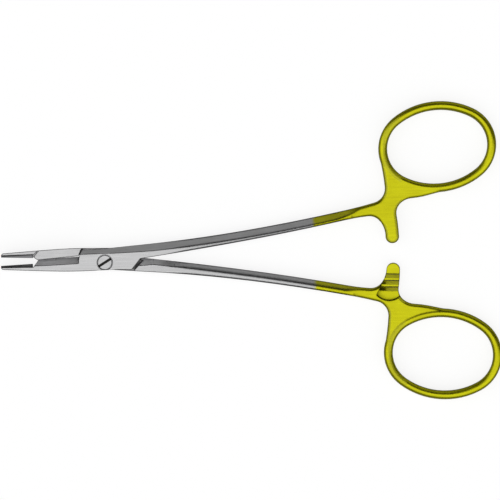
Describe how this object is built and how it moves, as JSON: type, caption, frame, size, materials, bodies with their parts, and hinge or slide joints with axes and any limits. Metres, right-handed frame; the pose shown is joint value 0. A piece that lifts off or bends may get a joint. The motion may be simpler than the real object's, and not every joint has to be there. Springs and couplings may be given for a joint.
{
  "type": "surgical needle holder",
  "caption": "Fine needle holder with carbide-lined jaws, screwed lap joint, ratchet bars and gold-plated finger rings, lying flat and slightly open.",
  "frame": {"origin": "on the pivot axis, at the flat back of the lock where the instrument rests", "axes": "+X along the instrument from the pivot towards the finger rings, +Y towards the front lever's ring, +Z along the pivot axis out of the front"},
  "size_m": [0.1295, 0.0776, 0.0042],
  "materials": {
    "lever_steel": "satin-ground stainless steel, gold plated over the handle end",
    "screw_steel": "satin-ground stainless steel",
    "carbide": "dark sintered tungsten carbide with a fine cross-cut gripping face"
  },
  "bodies": {
    "back_half": {"back_lever": "lever_steel", "lock_screw": "screw_steel", "carbide_insert_upper": "carbide"},
    "front_half": {"front_lever": "lever_steel", "carbide_insert_lower": "carbide"}
  },
  "joints": [
    {"name": "lock_pivot", "type": "hinge", "parent": "back_half", "child": "front_half", "pos_m": [0, 0, 0], "axis": [0, 0, 1], "range_deg": [-4.5, 40]}
  ]
}
